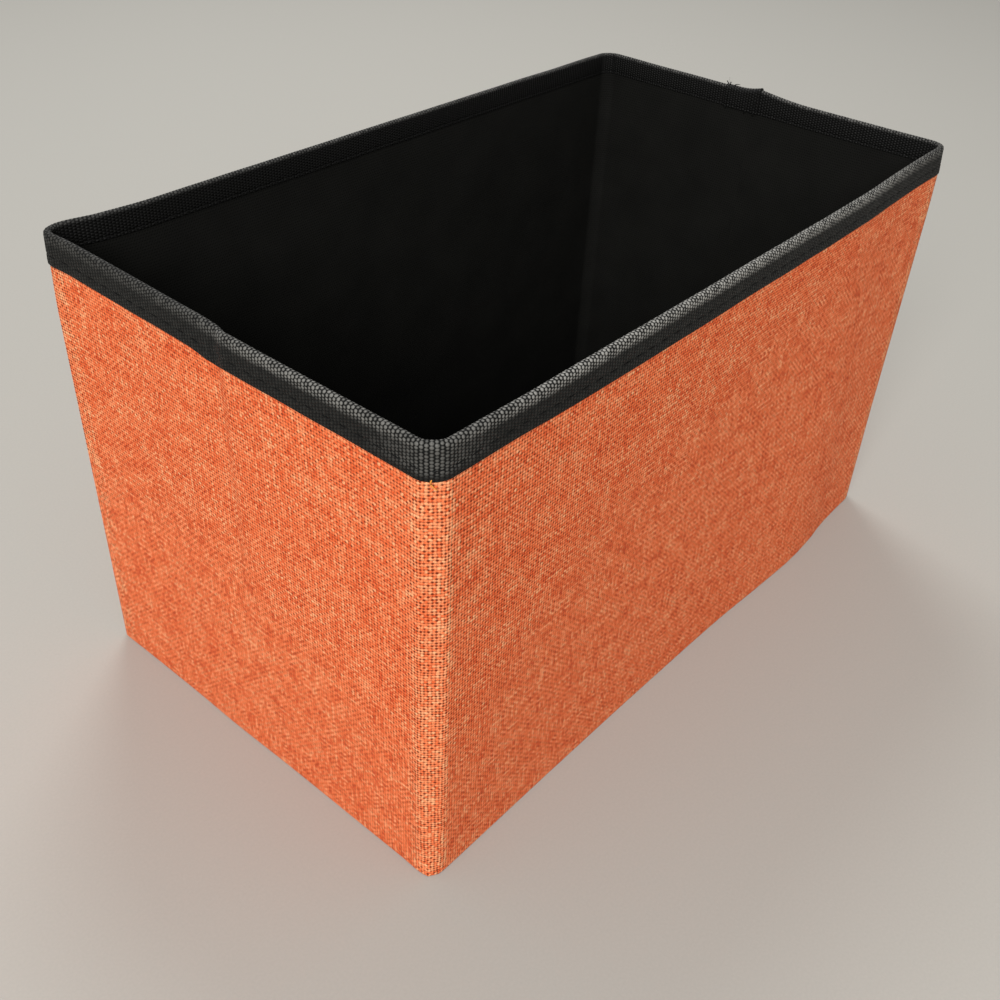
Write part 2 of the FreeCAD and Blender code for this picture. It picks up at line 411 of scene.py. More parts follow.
class Finish:
    # a material, and the short words that its nodes are made with
    def __init__(self, name, roughness, specular, sheen=0.0, sheenTint=(1, 1, 1)):
        self.material = bpy.data.materials.new(name)
        self.material.use_nodes = True
        self.tree = self.material.node_tree
        self.shader = self.tree.nodes["Principled BSDF"]
        fixed = {"Roughness": roughness, "Specular IOR Level": specular, "Sheen Weight": sheen,
                 "Sheen Roughness": 0.5, "Sheen Tint": (*sheenTint, 1.0)}
        for key, value in fixed.items():
            self.shader.inputs[key].default_value = value

    def add(self, kind, inputs=None, **settings):
        made = self.tree.nodes.new(kind)
        for name, value in settings.items():
            setattr(made, name, value)
        for key, value in (inputs or {}).items():
            if isinstance(value, bpy.types.NodeSocket):
                self.tree.links.new(value, made.inputs[key])
            else:
                made.inputs[key].default_value = value
        return made

    def calc(self, operation, first, second=0.5, third=0.5, clamp=False):
        numbers = {0: first, 1: second, 2: third}
        return self.add("ShaderNodeMath", numbers, operation=operation, use_clamp=clamp).outputs[0]

    def blend(self, share, first, second):
        return self.add("ShaderNodeMix", {0: share, 2: first, 3: second}, data_type="FLOAT").outputs[0]

    def blendColours(self, share, first, second):
        first, second = [(*c, 1.0) if isinstance(c, tuple) else c for c in (first, second)]
        return self.add("ShaderNodeMix", {0: share, 6: first, 7: second}, data_type="RGBA").outputs[2]

    def ramp(self, value, stops):
        made = self.add("ShaderNodeValToRGB", {0: value})
        band = made.color_ramp
        while len(band.elements) < len(stops):
            band.elements.new(0.5)
        for element, (at, colour) in zip(band.elements, stops):
            element.position = at
            element.color = (*colour, 1.0) if hasattr(colour, "__len__") else (colour, colour, colour, 1.0)
        return made.outputs[0]

    def spot(self, x, y, z=0.0):
        return self.add("ShaderNodeCombineXYZ", {0: x, 1: y, 2: z}).outputs[0]

    def objectSpot(self):
        return self.add("ShaderNodeTexCoord").outputs["Object"]

    def runAndRise(self):
        # how far round the bin and how far up the cloth a place lies
        spots = self.add("ShaderNodeUVMap", uv_map="weaveRun").outputs[0]
        parts = self.add("ShaderNodeSeparateXYZ", {0: spots})
        return parts.outputs[0], parts.outputs[1]

    def cloud(self, vector, scale, detail=2.0, roughness=0.5, output="Fac"):
        inputs = {"Vector": vector, "Scale": scale, "Detail": detail, "Roughness": roughness}
        return self.add("ShaderNodeTexNoise", inputs).outputs[output]

    def chance(self, x, y):
        return self.add("ShaderNodeTexWhiteNoise", {0: self.spot(x, y)}, noise_dimensions="2D").outputs[0]

    def oddOrEven(self, number):
        return self.calc("PINGPONG", number, 1.0)

    def fromMiddle(self, value):
        # how far a place lies from the middle of its cell
        return self.calc("SUBTRACT", self.calc("FRACT", value), 0.5)

    def square(self, value):
        return self.calc("MULTIPLY", value, value)

    def edge(self, beside):
        # 0 on a cell's middle line, 1 at its edge
        return self.calc("MULTIPLY", self.square(beside), 4.0)

    def vary(self, cloud, amount, onto):
        # moves a value up and down with a cloud
        return self.calc("MULTIPLY_ADD", self.calc("SUBTRACT", cloud, 0.5), amount, onto)

    def climb(self, value, start, width):
        # from 0 at the start to 1 a width further on
        return self.calc("DIVIDE", self.calc("SUBTRACT", value, start), width, clamp=True)

    def dress(self, colour, height, relief, strength=1.0):
        self.tree.links.new(colour, self.shader.inputs["Base Color"])
        bump = self.add("ShaderNodeBump", {"Height": height, "Distance": relief, "Strength": strength})
        self.tree.links.new(bump.outputs[0], self.shader.inputs["Normal"])
        return self.material


def evenPitch(pitch, repeat):
    # the pitch nearest to this that closes up with itself round the bin
    return wayRound / (repeat * round(wayRound / pitch / repeat))


# In the tables of the cloths a cloud is given by its scale, detail and roughness.
coverYarn = {
    "surface": {"roughness": 0.92, "specular": 0.12, "sheen": 0.03, "sheenTint": (1.0, 0.75, 0.6)},
    "pitchRun": 0.00166,
    "pitchUp": 0.00156,
    "wander": 0.8,  # in yarns
    "wanderCloud": (95.0, 4.0, 0.55),
    "endDip": 0.45,  # how far a yarn dips at each end of its float
    "slubLength": 0.15,  # tone changes to each yarn crossed, along a yarn
    "slubApart": 7.31,  # how far apart neighbouring yarns read their tones
    "lyingLayer": 40.0,
    "slubCloud": (1.0, 1.5),
    "shades": ((0.25, (0.60, 0.067, 0.017)), (0.41, (0.82, 0.141, 0.040)),
               (0.55, (0.94, 0.235, 0.088)), (0.77, (1.0, 0.47, 0.23))),
    "fibreCloud": (1500.0, 2.0, 0.7),
    "fibreTone": 0.6,
    "patchCloud": (42.0, 2.0),
    "patchTone": 0.08,
    "cornerTone": 0.08,
    "foldHighlight": 0.16,  # a painted highlight along a corner's fold: how much paler the cloth is made there
    "foldWidth": 0.0007,
    # the colour of the painted shade in the weave's gaps and low places
    "gapShade": (0.20, 0.020, 0.002),
    "gapDepth": 1.25,
    "gapLeast": -0.08,
    "gapChance": 0.7,
    "gapChequer": 0.55,  # every other gap is this much deeper
    "gapCorner": 0.6,
    "valleyShade": 0.28,  # painted shade in the low places between two yarns: how dark it is
    "fibreHeight": 0.5,
    "relief": 0.00028,
}


def makeCoverWeave():
    cloth = Finish("coverWeave", **coverYarn["surface"])
    calc = cloth.calc
    run, rise = cloth.runAndRise()
    flatSpot = cloth.spot(run, rise)
    wander = cloth.cloud(flatSpot, *coverYarn["wanderCloud"], output="Color")
    drift = cloth.add("ShaderNodeSeparateXYZ", {0: wander})
    across = calc("DIVIDE", run, evenPitch(coverYarn["pitchRun"], 2))
    upward = calc("DIVIDE", rise, coverYarn["pitchUp"])
    across = calc("MULTIPLY_ADD", drift.outputs[0], coverYarn["wander"], across)
    upward = calc("MULTIPLY_ADD", drift.outputs[1], coverYarn["wander"], upward)
    column, level = calc("FLOOR", across), calc("FLOOR", upward)
    edgeColumn = cloth.edge(cloth.fromMiddle(across))
    edgeLevel = cloth.edge(cloth.fromMiddle(upward))
    over = cloth.oddOrEven(calc("ADD", column, level))
    # a yarn is round across its own line and dips at each end of the float
    upright = calc("SUBTRACT", 1.0, calc("MULTIPLY_ADD", edgeLevel, coverYarn["endDip"], edgeColumn))
    lying = calc("SUBTRACT", 1.0, calc("MULTIPLY_ADD", edgeColumn, coverYarn["endDip"], edgeLevel))
    height = cloth.blend(over, upright, lying)
    # heathered yarn: every yarn has its own run of shades
    apart, along = coverYarn["slubApart"], coverYarn["slubLength"]
    uprightSpot = cloth.spot(calc("MULTIPLY", column, apart), calc("MULTIPLY", upward, along))
    lyingSpot = cloth.spot(calc("MULTIPLY", across, along), calc("MULTIPLY", level, apart),
                           coverYarn["lyingLayer"])
    tone = cloth.blend(over, *[cloth.cloud(at, *coverYarn["slubCloud"]) for at in (uprightSpot, lyingSpot)])
    fibre = cloth.cloud(flatSpot, *coverYarn["fibreCloud"])
    patch = cloth.cloud(flatSpot, *coverYarn["patchCloud"])
    corner = cloth.add("ShaderNodeAttribute", attribute_name="cornerStrip").outputs["Fac"]
    tone = cloth.vary(fibre, coverYarn["fibreTone"], tone)
    tone = cloth.vary(patch, coverYarn["patchTone"], tone)
    tone = calc("MULTIPLY_ADD", corner, coverYarn["cornerTone"], tone)
    # a painted highlight along each fold where a long wall meets a corner
    fold = 1.0
    for place in (*marks["back"], *marks["front"]):
        fold = calc("MINIMUM", fold, calc("ABSOLUTE", calc("SUBTRACT", run, place)))
    fold = calc("SUBTRACT", 1.0, calc("DIVIDE", fold, coverYarn["foldWidth"]), clamp=True)
    tone = calc("MULTIPLY_ADD", fold, coverYarn["foldHighlight"], tone)
    colour = cloth.ramp(tone, coverYarn["shades"])
    # painted shade in the gaps where four yarns meet, every other one deeper, and in the low places between
    # yarns
    nearColumn, nearLevel = calc("ROUND", across), calc("ROUND", upward)
    chequer = cloth.oddOrEven(calc("ADD", nearColumn, nearLevel))
    chance = cloth.chance(nearColumn, nearLevel)
    gapSize = calc("MULTIPLY_ADD", chance, coverYarn["gapChance"], coverYarn["gapLeast"])
    gapSize = calc("MULTIPLY_ADD", chequer, coverYarn["gapChequer"], gapSize)
    gapSize = calc("MULTIPLY_ADD", corner, calc("MULTIPLY", chance, coverYarn["gapCorner"]), gapSize)
    gapShade = calc("POWER", calc("MULTIPLY", edgeColumn, edgeLevel), 0.5)
    gapShade = calc("MULTIPLY", calc("MULTIPLY", gapShade, gapSize), coverYarn["gapDepth"], clamp=True)
    valleyShade = calc("MULTIPLY", calc("SUBTRACT", 1.0, height), coverYarn["valleyShade"], clamp=True)
    colour = cloth.blendColours(calc("MAXIMUM", gapShade, valleyShade), colour, coverYarn["gapShade"])
    lift = calc("MULTIPLY_ADD", fibre, coverYarn["fibreHeight"], calc("SUBTRACT", height, gapShade))
    return cloth.dress(colour, lift, coverYarn["relief"])


tapeYarn = {
    "surface": {"roughness": 0.5, "specular": 0.2},
    "ribPitch": evenPitch(0.0019, 2),
    "ribHeight": 0.00014,
    "beadPitch": 0.0015,
    "beadHeight": 0.8,
    # the low ground between the beads is painted darker and the bead tops paler: painted shade and painted
    # highlight
    "groundShade": (0.0012, 0.0012, 0.0010),
    "bead": (0.0105, 0.0103, 0.0092),
    # the colour of the painted highlight on the yarns over the rim
    "paintedHighlight": (0.44, 0.43, 0.40),
    # the inner face is painted darker: painted shade inside the bin
    "inside": (0.0030, 0.0029, 0.0025),
    "fibreCloud": (2600.0, 2.0, 0.7),
    "fibreHeight": 0.35,
    "fibreShine": 0.6,
    "beadChance": 0.5,  # how unlike each other the beads shine
    "beadStart": (0.2, 0.65),  # height at which a bead's colour sets in, and the width of the change
    "gloss": ((0.1, 0.70), (0.95, 0.42)),  # roughness at low and high shine
    "relief": 0.00024,
    # how strong the painted highlight on the yarns over the rim is, at shares of each stretch of the rim
    "highlightStretches": {
        "rightBack": ((0.5, 0.14),),
        "back": ((0.5, 0.14),),
        "cornerBackLeft": ((0.5, 0.07),),
        "leftBack": ((0.5, 0.11), (0.9, 0.16)),
        "leftFront": ((0.2, 0.38), (0.6, 0.42)),
        "cornerFrontLeft": ((0.5, 0.24),),
        "front": ((0.15, 0.70), (0.45, 0.74), (0.8, 0.58)),
        "cornerFrontRight": ((0.5, 0.2),),
        "rightFront": ((0.5, 0.2),),
    },
    "highlightFrom": (-0.0036, 0.0030),  # where the painted highlight sets in from the fold line, and over which height
    "highlightEnd": (0.0050, 0.0012),  # where the painted highlight has ended on the inside, and the painted shade of the inner face begins
    "cornerHighlight": 0.20,  # the painted highlight reaches lower down at the near corner as well
    "cornerReach": 0.034,
    "cornerFrom": (0.0016, 0.003),
}


def makeRimTape():
    tape = Finish("rimTape", **tapeYarn["surface"])
    calc = tape.calc
    run, rise = tape.runAndRise()
    ribs = calc("DIVIDE", run, tapeYarn["ribPitch"])
    rib = calc("ROUND", ribs)
    beads = calc("MULTIPLY_ADD", tape.oddOrEven(rib), 0.5, calc("DIVIDE", rise, tapeYarn["beadPitch"]))
    ribEdge = tape.edge(calc("SUBTRACT", ribs, rib))
    beadEdge = calc("MULTIPLY", tape.edge(tape.fromMiddle(beads)), tapeYarn["beadHeight"])
    height = calc("SUBTRACT", 1.0, calc("ADD", ribEdge, beadEdge))
    fibre = tape.cloud(tape.spot(run, rise), *tapeYarn["fibreCloud"])
    shine = tape.vary(tape.chance(rib, calc("FLOOR", beads)), tapeYarn["beadChance"], height)
    shine = tape.vary(fibre, tapeYarn["fibreShine"], shine)
    # a painted highlight along the fold over the rim, and lower down round the near corner
    stops = [(place / wayRound, amount) for place, amount in spread(tapeYarn["highlightStretches"])]
    along = tape.ramp(calc("FRACT", calc("DIVIDE", run, wayRound)), [(0.0, stops[0][1])] + stops)
    start, width = tapeYarn["highlightFrom"]
    over = tape.climb(rise, foldLine + start, width)
    stop, width = tapeYarn["highlightEnd"]
    outside = calc("SUBTRACT", foldLine + stop, rise)
    outside = calc("DIVIDE", outside, width, clamp=True)
    away = calc("ABSOLUTE", calc("SUBTRACT", run, sum(marks["cornerFrontLeft"]) / 2))
    near = calc("SUBTRACT", 1.0, calc("DIVIDE", away, tapeYarn["cornerReach"], clamp=True))
    start, width = tapeYarn["cornerFrom"]
    atCorner = calc("MULTIPLY", calc("MULTIPLY", near, tapeYarn["cornerHighlight"]),
                    tape.climb(rise, tapeBottom + start, width))
    paintedHighlight = calc("MULTIPLY", calc("MAXIMUM", calc("MULTIPLY", along, over), atCorner), outside)
    # painted shade on the tape's inner face
    bead = tape.blendColours(outside, tapeYarn["inside"], tapeYarn["bead"])
    bead = tape.blendColours(paintedHighlight, bead, tapeYarn["paintedHighlight"])
    # painted shade in the low ground between the beads, and a painted highlight on the bead tops
    colour = tape.blendColours(tape.climb(shine, *tapeYarn["beadStart"]), tapeYarn["groundShade"], bead)
    tape.tree.links.new(tape.ramp(shine, tapeYarn["gloss"]), tape.shader.inputs["Roughness"])
    height = calc("MULTIPLY_ADD", fibre, tapeYarn["fibreHeight"], height)
    return tape.dress(colour, height, tapeYarn["relief"])


liningYarn = {
    "surface": {"roughness": 0.8, "specular": 0.10},
    "shades": ((0.3, (0.0033, 0.0033, 0.0029)), (0.8, (0.0090, 0.0089, 0.0078))),
    "fibreCloud": (900.0, 4.0, 0.65),
    "fibreTone": 0.5,
    "fibreHeight": 0.5,
    "patchCloud": (35.0, 3.0),
    "patchTone": 0.5,
    "dimplePitch": 0.0016,
    "dimpleSize": 9.0,
    # each dimple's hollow is painted darker: painted shade
    "dimpleShade": 0.3,
    "relief": (0.00015, 0.8),  # depth and strength
}


def makeLiningCloth():
    cloth = Finish("liningCloth", **liningYarn["surface"])
    calc = cloth.calc
    run, rise = cloth.runAndRise()
    flatSpot = cloth.spot(run, rise)
    fibre = cloth.cloud(flatSpot, *liningYarn["fibreCloud"])
    patch = cloth.cloud(flatSpot, *liningYarn["patchCloud"])
    # rolled dimples, offset from row to row
    rows = calc("DIVIDE", rise, liningYarn["dimplePitch"])
    offset = calc("MULTIPLY", cloth.oddOrEven(calc("FLOOR", rows)), 0.5)
    columns = calc("ADD", calc("DIVIDE", run, evenPitch(liningYarn["dimplePitch"], 1)), offset)
    away = calc("ADD", cloth.square(cloth.fromMiddle(rows)), cloth.square(cloth.fromMiddle(columns)))
    dimple = calc("MULTIPLY", away, liningYarn["dimpleSize"], clamp=True)
    tone = calc("MULTIPLY", patch, liningYarn["patchTone"])
    tone = calc("MULTIPLY_ADD", fibre, liningYarn["fibreTone"], tone)
    # painted shade in each dimple's hollow
    colour = cloth.ramp(cloth.vary(dimple, liningYarn["dimpleShade"], tone), liningYarn["shades"])
    height = calc("MULTIPLY_ADD", fibre, liningYarn["fibreHeight"], dimple)
    return cloth.dress(colour, height, *liningYarn["relief"])


cardStock = {
    "surface": {"roughness": 0.85, "specular": 0.25},
    "pulpCloud": (420.0, 5.0, 0.7),
    "shades": ((0.3, (0.30, 0.27, 0.23)), (0.7, (0.50, 0.47, 0.42))),
    "fleckScale": 260.0,
    "fleckSize": ((0.04, 1.0), (0.10, 0.0)),
    "fleck": (0.12, 0.10, 0.09),
    "fleckShare": 0.5,
    "relief": (0.0002, 0.6),
}


def makeGreyBoard():
    card = Finish("greyBoard", **cardStock["surface"])
    spots = card.objectSpot()
    pulp = card.cloud(spots, *cardStock["pulpCloud"])
    cells = card.add("ShaderNodeTexVoronoi", {"Vector": spots, "Scale": cardStock["fleckScale"]})
    fleck = card.ramp(cells.outputs["Distance"], cardStock["fleckSize"])
    fleck = card.calc("MULTIPLY", fleck, cardStock["fleckShare"])
    colour = card.blendColours(fleck, card.ramp(pulp, cardStock["shades"]), cardStock["fleck"])
    return card.dress(colour, pulp, *cardStock["relief"])


threadTwist = {
    "surface": {"roughness": 0.6, "specular": 0.2},
    "strandCloud": (3200.0, 2.0, 0.6),
    "black": ((0.35, (0.0012, 0.0012, 0.0012)), (0.65, (0.004, 0.004, 0.0038))),
    "amber": ((0.35, (0.62, 0.20, 0.03)), (0.65, (0.88, 0.38, 0.07))),
    "relief": (0.0001, 0.7),
}


def makeThread(colour):
    thread = Finish(colour + "Thread", **threadTwist["surface"])
    strands = thread.cloud(thread.objectSpot(), *threadTwist["strandCloud"])
    return thread.dress(thread.ramp(strands, threadTwist[colour]), strands, *threadTwist["relief"])


coverWeave = makeCoverWeave()
rimTape = makeRimTape()
liningCloth = makeLiningCloth()
greyBoard = makeGreyBoard()
blackThread = makeThread("black")
amberThread = makeThread("amber")
print("materials made")


# How each layer is cut: one length of wall, the bodies it lies across and the frame nodes it stands for

creaseStrip = wallForm["creaseStrip"]
leftCrease = marks["leftFront"][0]
cornerAxis = (halfLength, halfWidth - reach)
cornerEnd = (halfLength - reach, halfWidth)
wallCuts = [
    {"name": "Back", "span": (creaseStrip, marks["back"][1]),
     "bodies": ("right_back_half", "back_wall"), "turn": (cornerAxis, cornerEnd),
     "nodes": ("right_back_%s", "corner_%s_back_right", "back_%s")},
    {"name": "LeftBack", "span": (marks["cornerBackLeft"][0], leftCrease - creaseStrip),
     "bodies": ("back_wall", "left_back_half"),
     "turn": ((-cornerEnd[0], cornerEnd[1]), (-cornerAxis[0], cornerAxis[1])),
     "nodes": ("corner_%s_back_left", "left_back_%s")},
    {"name": "LeftCrease", "span": (leftCrease - creaseStrip, leftCrease + creaseStrip),
     "bodies": ("left_back_half", "left_front_half"),
     "turn": ((-halfLength, creaseStrip), (-halfLength, -creaseStrip)),
     "nodes": ()},
    {"name": "Front", "span": (leftCrease + creaseStrip, marks["front"][1]),
     "bodies": ("left_front_half", "front_wall"),
     "turn": ((-cornerAxis[0], -cornerAxis[1]), (-cornerEnd[0], -cornerEnd[1])),
     "nodes": ("left_front_%s", "corner_%s_front_left", "front_%s")},
    {"name": "FrontRightCorner", "span": marks["cornerFrontRight"],
     "bodies": ("front_wall",), "nodes": ("corner_%s_front_right",)},
    {"name": "RightFront", "span": (marks["rightFront"][0], wayRound - creaseStrip),
     "bodies": ("right_front_half",), "nodes": ("right_front_%s",)},
    {"name": "RightCrease", "span": (wayRound - creaseStrip, wayRound + creaseStrip),
     "bodies": ("right_front_half", "right_back_half"),
     "turn": ((halfLength, -creaseStrip), (halfLength, creaseStrip)),
     "nodes": ()},
]


def carry(piece, cut, layer=None):
    # sets a finished band on its body where its length of wall has only one; a band across two bodies is
    # only fixed in place where it stands. The frame nodes of its layer are hidden
    bodies = cut["bodies"]
    if len(bodies) == 2:
        start, end = cut["turn"]
        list(bodies)
        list(start)
        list(end)
        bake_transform(piece)
    else:
        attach(piece, bodies[0])
        if cut["name"] == "FrontRightCorner":
            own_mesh(piece)
    if layer and cut["nodes"]:
        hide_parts(*[node % layer for node in cut["nodes"]])


def layerLine(layer, low, high, rows):
    # a flat layer's middle line from low to high, and half its thickness
    near, far = layerDepths[layer]
    middle = (near + far) / 2
    return line((middle, low), (middle, high), rows), (far - near) / 2


boardCut = {"step": 0.008, "rows": 24, "skinGap": 0.00003}


def makeBoards():
    # stiff boards in the six flat walls, bowed with the cloth
    path, half = layerLine("board", wallBottom, boardTop, boardCut["rows"])
    insets = {
        "long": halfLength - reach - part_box("front_board")[1].x,
        "corner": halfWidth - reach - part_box("left_back_board")[1].y,
        "crease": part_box("left_back_board")[0].y,
    }
    walls = [("back", "back_wall", "long", "long"),
             ("front", "front_wall", "long", "long"),
             ("rightBack", "right_back_half", "crease", "corner"),
             ("leftBack", "left_back_half", "corner", "crease"),
             ("leftFront", "left_front_half", "crease", "corner"),
             ("rightFront", "right_front_half", "corner", "crease")]
    for wall, body, first, last in walls:
        runs = gridRuns(marks[wall][0] + insets[first], marks[wall][1] - insets[last], boardCut["step"])
        name = "board" + wall[0].upper() + wall[1:]
        piece = sweepBand(name, runs, path, half - boardCut["skinGap"], greyBoard)
        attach(piece, body)
        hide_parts(body.replace("_wall", "").replace("_half", "") + "_board")


hemGap = 0.00005


def makeLayer(layer, form, material, shift=None):
    # one layer of cloth all round the bin, from the hem up to the fold of the tape
    low = hemTop + hemGap
    path, half = layerLine(layer, low, foldLine, form["rows"])
    for cut in wallCuts:
        start, stop = cut["span"]
        runs = gridRuns(start, stop, form["step"], form["bendStep"])
        piece = sweepBand(layer + cut["name"], runs, path, half, material, shift=shift)
        if layer == "cover":
            markCorners(piece)
        carry(piece, cut, layer)


coverCut = {"step": 0.006, "bendStep": 0.0009, "rows": 32}

liningCut = {
    "step": 0.005,
    "bendStep": 0.0009,
    "rows": 36,
    "rippleDepth": 0.0011,
    "rippleAcross": 20.0,
    "rippleUp": 6.0,
    "rippleLayer": 11.3,
    "rippleMore": 0.15,  # the higher, the more of the cloth ripples
    "fadeTop": 0.035,
    "fadeSide": 0.25,
}


def liningRipple(run, depth, z):
    # the lining hangs a little loose of the board, so it stands inward in long soft ripples
    stretch, share = planSpot(run)[2:]
    if stretch.startswith("corner"):
        return 0.0, 0.0
    at = Vector((run * liningCut["rippleAcross"], z * liningCut["rippleUp"], liningCut["rippleLayer"]))
    lift = max(0.0, noise.noise(at) + liningCut["rippleMore"])
    top = clamped((tapeBottom - z) / liningCut["fadeTop"])
    side = min(1.0, share / liningCut["fadeSide"], (1 - share) / liningCut["fadeSide"])
    return liningCut["rippleDepth"] * lift * top * side * min(1.0, z / liningCut["fadeTop"]), 0.0


tapeCut = {
    "edgeHalf": [0.00016, 0.00027],  # half thickness at the woven edge and just above it
    "outerRows": (0.0, 0.0005, 0.0016, 0.0038, 0.0050, 0.0062, 0.0085, 0.0115),  # above the lower edge
    "innerEdge": 0.0035,  # the inner edge is this much higher, and its rows lie closer
    "innerShare": 0.3,
    "bendRows": 11,
    "ribRings": 4,
    "grooveRow": 4,
    "groove": 0.0003,
    "creaseDip": 0.0007,  # over the left crease the fold sits lower
    "dipWidth": 0.007,
    "creaseLift": 0.0021,  # over the right crease it stands up, towards the back and the front
    "liftWidths": (0.017, 0.034),
    "edgeWander": (0.00025, 40.0, (0.0, 7.7)),  # amount, waves to the metre and place in the noise
    "crownWander": (0.0002, 30.0, (5.0, 1.1)),
    "wanderFade": 0.02,
}


def wanderAt(run, key):
    # a slow wander along the tape, which dies out where the round starts and ends
    amount, waves, layer = tapeCut[key]
    home = run % wayRound
    swell = noise.noise(Vector((home * waves, *layer))) * amount
    return swell * min(1.0, min(home, wayRound - home) / tapeCut["wanderFade"])


def edgeDrop(run):
    return edgeHangs(run) + wanderAt(run, "edgeWander")


def tapePath(growth=0.0):
    # up the outside, over the rim and down the inside, in depth and height
    half = coverNear / 2
    centre = rimDepth / 2
    radius = centre + growth - half
    foot = tapeBottom + tapeCut["innerEdge"]
    path = [(centre - radius, tapeBottom + rise) for rise in tapeCut["outerRows"]]
    path += arcLine((centre, foldLine), radius, 180, 0, tapeCut["bendRows"])
    path += [(centre + radius, foot + rise * tapeCut["innerShare"]) for rise in tapeCut["outerRows"][::-1]]
    edge = tapeCut["edgeHalf"]
    return path, edge + [half] * (len(path) - 2 * len(edge)) + edge[::-1]


def tapeRelief(run, row):
    # ribs across the tape and a groove that the stitches lie in; the woven edges are plain
    rows = 2 * len(tapeCut["outerRows"]) + tapeCut["bendRows"]
    fromEdge = min(row, rows - 1 - row)
    if fromEdge == 0:
        return 0.0
    rib = 0.5 + 0.5 * math.cos(2 * math.pi * run / tapeYarn["ribPitch"])
    groove = tapeCut["groove"] if fromEdge == tapeCut["grooveRow"] else 0.0
    return tapeYarn["ribHeight"] * (rib - 1) - groove


def tapeShift(run, depth, z):
    # the edge wanders, and the fold over the rim dips at one crease and stands up at the other
    low = clamped((foldLine - z) / (foldLine - tapeBottom))
    high = 1 - low
    home = run % wayRound
    dip = tapeCut["creaseDip"] * math.exp(-(((home - leftCrease) / tapeCut["dipWidth"]) ** 2)) * high
    toBack, toFront = tapeCut["liftWidths"]
    near = max(1 - home / toBack, 1 - (wayRound - home) / toFront, 0.0)
    dip -= tapeCut["creaseLift"] * near * near * high ** 3
    return 0.0, -edgeDrop(run) * low - dip + wanderAt(run, "crownWander") * high


def makeTapes():
    path, halves = tapePath()
    girth = float(np.sum(stepLengths(path)))
    for cut in wallCuts:
        start, stop = cut["span"]
        runs = gridRuns(start, stop, tapeYarn["ribPitch"] / tapeCut["ribRings"])
        piece = sweepBand("tape" + cut["name"], runs, path, halves, rimTape, tapeRelief, tapeShift)
        carry(piece, cut, "binding")


def addThread(verts, faces, points, radii, sides=6):
    # one round closed thread along the points
    first = len(verts)
    count = len(points)
    for i, point in enumerate(points):
        ahead = (points[min(i + 1, count - 1)] - points[max(i - 1, 0)]).normalized()
        side = ahead.cross(Vector((0, 0, 1)))
        if side.length < 0.2:  # it runs nearly upright
            side = ahead.cross(Vector((0, 1, 0)))
        side.normalize()
        other = ahead.cross(side)
        for k in range(sides):
            angle = 2 * math.pi * k / sides
            verts.append(point + radii[i] * (math.cos(angle) * side + math.sin(angle) * other))
    for face in tubeFaces(count, sides):
        faces.append(tuple(first + k for k in (face[0], face[3], face[2], face[1])))
    faces.append(tuple(first + k for k in range(sides))[::-1])
    faces.append(tuple(first + (count - 1) * sides + k for k in range(sides)))


stitching = {
    "pitch": 0.0092,
    "length": 0.0056,
    "radius": 0.00026,
    "thinning": 0.35,  # at a stitch's ends
    "aboveEdge": 0.0050,
    "endGap": 0.3,  # in pitches, at the ends of a piece of tape
    "tilt": 0.00012,
    "proud": 0.00008,
    "sunk": 0.00045,
    "inGroove": 0.6,
    "steps": 7,
}
stitchShares = [k / (stitching["steps"] - 1) * 2 - 1 for k in range(stitching["steps"])]
stitchDips = [stitching["sunk"] * share ** 6 for share in stitchShares]
stitchRadii = [stitching["radius"] * (1 - stitching["thinning"] * share ** 4) for share in stitchShares]


def makeStitches():
    # the lock-stitch along the tape's lower edge, outside and inside
    pitch = wayRound / round(wayRound / stitching["pitch"])
    rng = random.Random(5)
    groove = (tapeYarn["ribHeight"] + tapeCut["groove"]) * stitching["inGroove"]
    for cut in wallCuts:
        verts, faces = [], []
        start, stop = cut["span"]
        endGap = stitching["endGap"] * pitch
        for number in range(int(start / pitch) - 1, int(stop / pitch) + 2):
            centre = (number + 0.5) * pitch
            if not start + endGap <= centre <= stop - endGap:
                continue
            for depth, outward in ((groove, -1), (rimDepth - groove, 1)):
                tilt = rng.uniform(-stitching["tilt"], stitching["tilt"])
                points = []
                for share, dip in zip(stitchShares, stitchDips):
                    run = centre + share * stitching["length"] / 2
                    z = tapeBottom + stitching["aboveEdge"] - edgeDrop(run) + tilt * share
                    points.append(wallPoint(run, depth + outward * (stitching["proud"] - dip), z))
                addThread(verts, faces, points, stitchRadii)
        if faces:
            piece = newPiece("stitches" + cut["name"], verts, faces, blackThread)
            carry(piece, cut)


makeBoards()
print("boards made")
makeLayer("cover", coverCut, coverWeave)
print("cover cloth made")
makeLayer("lining", liningCut, liningCloth, liningRipple)
print("lining made")
makeTapes()
makeStitches()
print("rim tape and its stitches made")


lapForm = {
    "longer": 0.0038,
    "lift": 0.0009,
    "liftLength": 0.017,
    "rowInset": (0.0022, 0.0085),
    "rowFoot": 0.002,
    "stitchPitch": 0.0026,
    "stitchShare": 0.86,  # of the pitch
}


